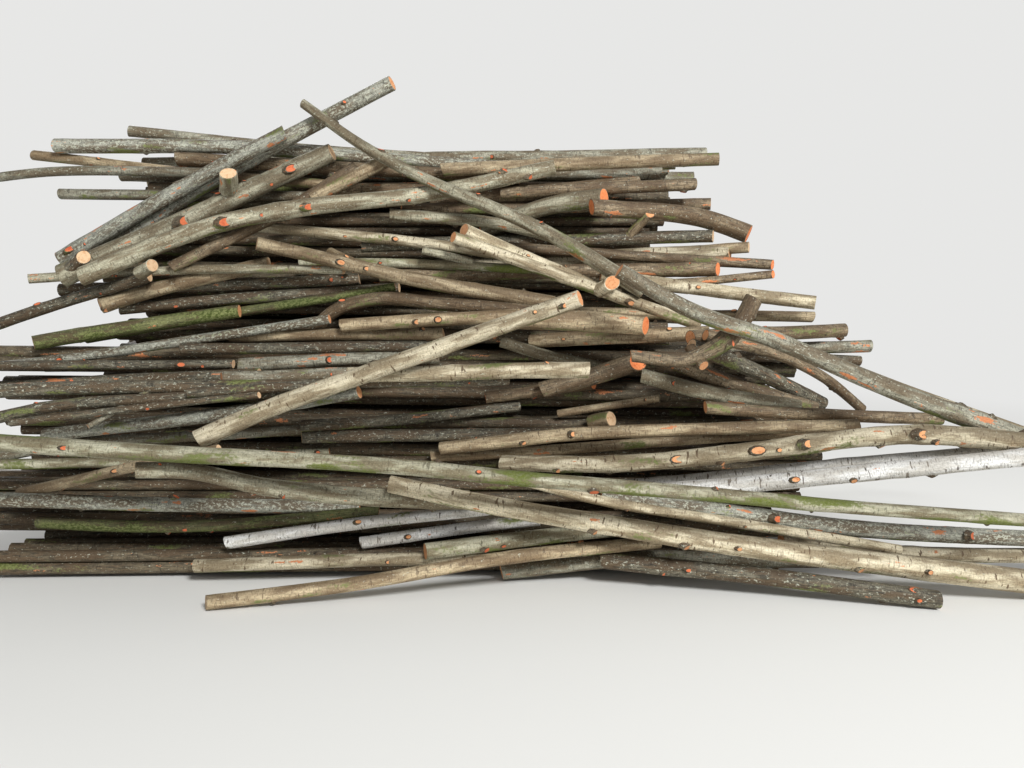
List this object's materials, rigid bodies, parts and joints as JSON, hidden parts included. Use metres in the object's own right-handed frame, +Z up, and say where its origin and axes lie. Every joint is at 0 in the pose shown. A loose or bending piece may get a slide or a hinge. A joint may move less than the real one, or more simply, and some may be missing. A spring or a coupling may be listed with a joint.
{
  "type": "stack of logs",
  "caption": "Loose roadside heap of long, thin felled poles and logs, laid mostly lengthwise, with crossing poles on its face and sawn ends to both sides",
  "frame": {"origin": "on the ground, at the middle of the stack's bounding box", "axes": "+X along the logs, to the right as seen from the front; -Y is the front shown in the picture; +Z is up"},
  "size_m": [6.752, 3.2596, 2.8646],
  "materials": {
    "grey_bark": "rough grey-brown bark",
    "brown_bark": "rough dark brown bark",
    "pale_bark": "smooth pale bark",
    "mossy_bark": "mossy olive bark",
    "birch_bark": "white bark with dark marks"
  },
  "bodies": {
    "root": {"core": "brown_bark", "back_logs": "brown_bark", "crown_logs": "brown_bark", "top_poles": "grey_bark", "pole_on_the_ridge": "grey_bark", "right_end_logs": "brown_bark", "upper_poles": "grey_bark", "pale_curved_pole": "pale_bark", "bowed_log": "brown_bark", "middle_poles": "grey_bark", "left_poles": "grey_bark", "right_poles": "grey_bark", "hooked_branch": "brown_bark", "pale_pole_end": "pale_bark", "diagonal_pole": "pale_bark", "left_leaning_poles": "grey_bark", "crossing_pole": "grey_bark", "crossing_pole_tail": "grey_bark", "birch_poles": "birch_bark", "scarred_log": "pale_bark", "bottom_poles": "brown_bark", "sinuous_log": "mossy_bark", "front_poles": "grey_bark", "lowest_front_log": "pale_bark", "mossy_front_pole": "mossy_bark"}
  },
  "joints": []
}
